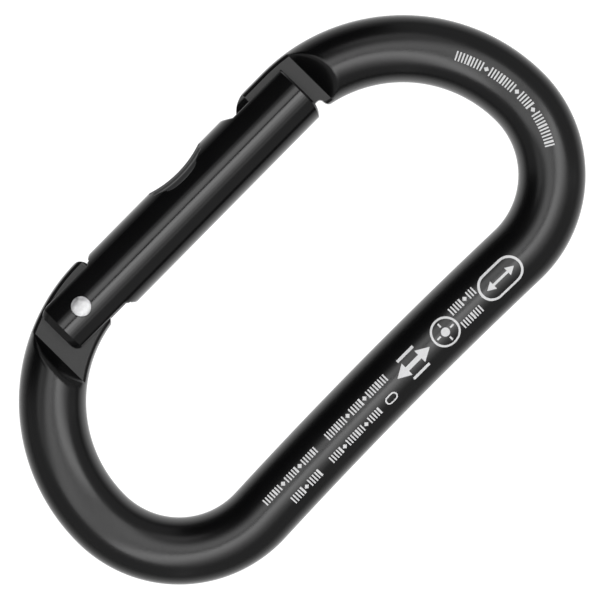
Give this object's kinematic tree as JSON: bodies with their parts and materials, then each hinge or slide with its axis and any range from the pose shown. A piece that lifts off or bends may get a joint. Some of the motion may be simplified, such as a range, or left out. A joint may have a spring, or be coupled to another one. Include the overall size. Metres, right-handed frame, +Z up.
{
  "type": "straight gate oval carabiner",
  "caption": "Black oval carabiner of round bar with a straight spring gate that hooks over a pinless nose.",
  "frame": {"origin": "below the middle of the outline, on the surface the carabiner lies on", "axes": "+Z up, +Y along the carabiner towards the nose end, +X from the gate to the spine"},
  "size_m": [0.056, 0.108, 0.011],
  "materials": {
    "frame_black": "matt black anodised, with a fine blasted surface",
    "gate_black": "smooth satin black anodised",
    "rivet_steel": "bright peened stainless steel",
    "spring_steel": "drawn spring wire",
    "plunger_steel": "turned steel",
    "laser_mark": "pale laser marking in the anodised surface"
  },
  "bodies": {
    "frame": {"frame_bar": "frame_black"},
    "gate_arm": {"gate": "gate_black", "hinge_rivet": "rivet_steel", "gate_spring": "spring_steel"},
    "plunger": {"spring_plunger": "plunger_steel"}
  },
  "joints": [
    {"name": "gate_hinge", "type": "hinge", "parent": "frame", "child": "gate_arm", "pos_m": [-0.02212, -0.026, 0.0055], "axis": [0, 0, -1], "range_deg": [0, 38], "stiffness_Nm_per_rad": 0.075, "springref_deg": -82.51},
    {"name": "plunger_slide", "type": "slide", "parent": "gate_arm", "child": "plunger", "axis": [0, 1, 0], "range_m": [0, 0.0012], "deforming": ["gate_spring"]}
  ],
  "couplings": [
    {"joint": "plunger_slide", "follows": "gate_hinge", "m_per_rad": 0.0018}
  ]
}
